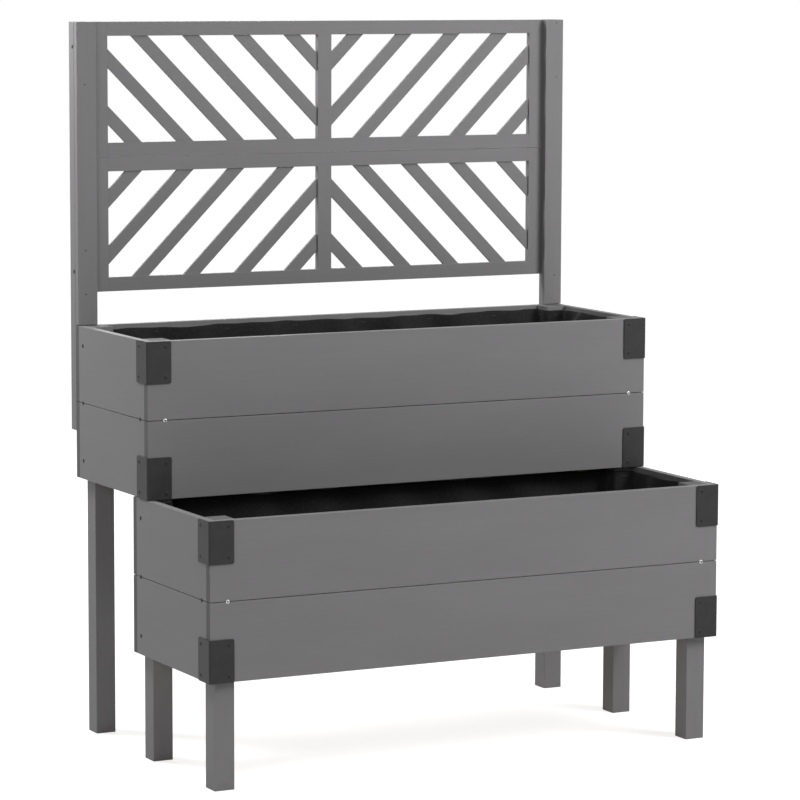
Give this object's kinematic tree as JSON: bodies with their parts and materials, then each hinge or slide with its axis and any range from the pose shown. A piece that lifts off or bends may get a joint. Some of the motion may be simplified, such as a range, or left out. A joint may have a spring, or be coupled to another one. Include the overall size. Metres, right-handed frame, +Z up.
{
  "type": "planter with trellis",
  "caption": "Stepped timber planter: a low box in front and a high box behind on square legs, with a lattice screen over the rear box.",
  "frame": {"origin": "on the ground, under the centre of the whole planter's bounding box", "axes": "+Z up along the legs and posts, +X to the right along the long boards, -Y towards the front, where the low box is"},
  "size_m": [0.8636, 0.5254, 1.1072],
  "materials": {
    "grey_painted_timber": "satin grey paint over softwood",
    "raw_timber": "unpainted sawn softwood",
    "black_painted_steel": "satin black powder coat on the brackets, black coating on most screws, the brads and the staples",
    "bright_zinc_steel": "bright zinc plating on the two screws at each box's front seam",
    "black_liner_felt": "matt black non-woven felt"
  },
  "bodies": {
    "root": {"leg_front_left": "grey_painted_timber", "leg_front_right": "grey_painted_timber", "leg_middle_left": "grey_painted_timber", "leg_middle_right": "grey_painted_timber", "leg_rear_left": "grey_painted_timber", "leg_rear_right": "grey_painted_timber", "lower_front_board_bottom": "grey_painted_timber", "lower_front_board_top": "grey_painted_timber", "lower_back_board_bottom": "grey_painted_timber", "lower_back_board_top": "grey_painted_timber", "lower_left_board_bottom": "grey_painted_timber", "lower_left_board_top": "grey_painted_timber", "lower_right_board_bottom": "grey_painted_timber", "lower_right_board_top": "grey_painted_timber", "lower_cleat_front": "raw_timber", "lower_cleat_back": "raw_timber", "lower_floor_slat_1": "raw_timber", "lower_floor_slat_2": "raw_timber", "lower_floor_slat_3": "raw_timber", "lower_floor_slat_4": "raw_timber", "lower_floor_slat_5": "raw_timber", "lower_floor_slat_6": "raw_timber", "lower_liner": "black_liner_felt", "lower_bracket_bottom_left": "black_painted_steel", "lower_bracket_top_left": "black_painted_steel", "lower_bracket_bottom_right": "black_painted_steel", "lower_bracket_top_right": "black_painted_steel", "upper_front_board_bottom": "grey_painted_timber", "upper_front_board_top": "grey_painted_timber", "upper_back_board_bottom": "grey_painted_timber", "upper_back_board_top": "grey_painted_timber", "upper_left_board_bottom": "grey_painted_timber", "upper_left_board_top": "grey_painted_timber", "upper_right_board_bottom": "grey_painted_timber", "upper_right_board_top": "grey_painted_timber", "upper_cleat_front": "raw_timber", "upper_cleat_back": "raw_timber", "upper_floor_slat_1": "raw_timber", "upper_floor_slat_2": "raw_timber", "upper_floor_slat_3": "raw_timber", "upper_floor_slat_4": "raw_timber", "upper_floor_slat_5": "raw_timber", "upper_floor_slat_6": "raw_timber", "upper_liner": "black_liner_felt", "upper_bracket_bottom_left": "black_painted_steel", "upper_bracket_top_left": "black_painted_steel", "upper_bracket_bottom_right": "black_painted_steel", "upper_bracket_top_right": "black_painted_steel", "trellis_post_left": "grey_painted_timber", "trellis_post_right": "grey_painted_timber", "trellis_post_face_left": "grey_painted_timber", "trellis_post_face_right": "grey_painted_timber", "trellis_lower_lattice": "grey_painted_timber", "trellis_lower_stile_left": "grey_painted_timber", "trellis_lower_stile_right": "grey_painted_timber", "trellis_upper_lattice": "grey_painted_timber", "trellis_upper_stile_left": "grey_painted_timber", "trellis_upper_stile_right": "grey_painted_timber"}
  },
  "joints": []
}
